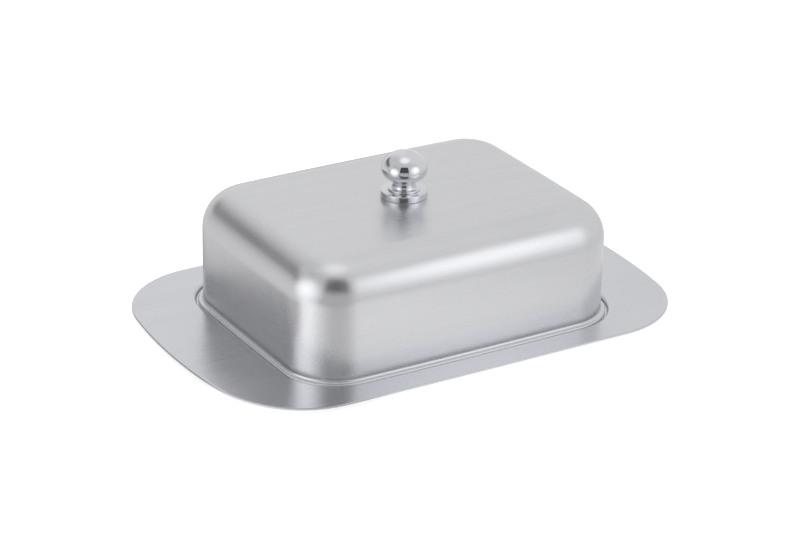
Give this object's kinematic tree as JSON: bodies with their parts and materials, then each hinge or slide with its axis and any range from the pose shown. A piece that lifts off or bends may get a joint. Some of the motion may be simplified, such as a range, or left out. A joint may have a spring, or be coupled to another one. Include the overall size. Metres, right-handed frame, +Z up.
{
  "type": "butter dish",
  "caption": "Pressed steel butter dish: a rounded oblong tray with a shallow well, and a lift-off box-shaped cover with a ball knob.",
  "frame": {"origin": "middle of the tray's underside, where the dish rests on the table", "axes": "+X along the dish's length, +Y across it, +Z up"},
  "size_m": [0.19, 0.1254, 0.062],
  "materials": {
    "brushed_tray": "satin stainless steel, fine straight brushing along the dish",
    "brushed_cover": "satin stainless steel, fine straight brushing along the top and round the walls",
    "polished_knob": "mirror-polished chrome",
    "plain_fixings": "plain bright stainless steel"
  },
  "bodies": {
    "tray": {"tray": "brushed_tray"},
    "cover": {"cover": "brushed_cover", "knob_collar": "polished_knob", "knob": "polished_knob", "screw_washer": "plain_fixings", "knob_screw": "plain_fixings"}
  },
  "joints": [
    {"name": "cover_lift", "type": "slide", "parent": "tray", "child": "cover", "axis": [0, 0, 1], "range_m": [0, 0.08]}
  ]
}
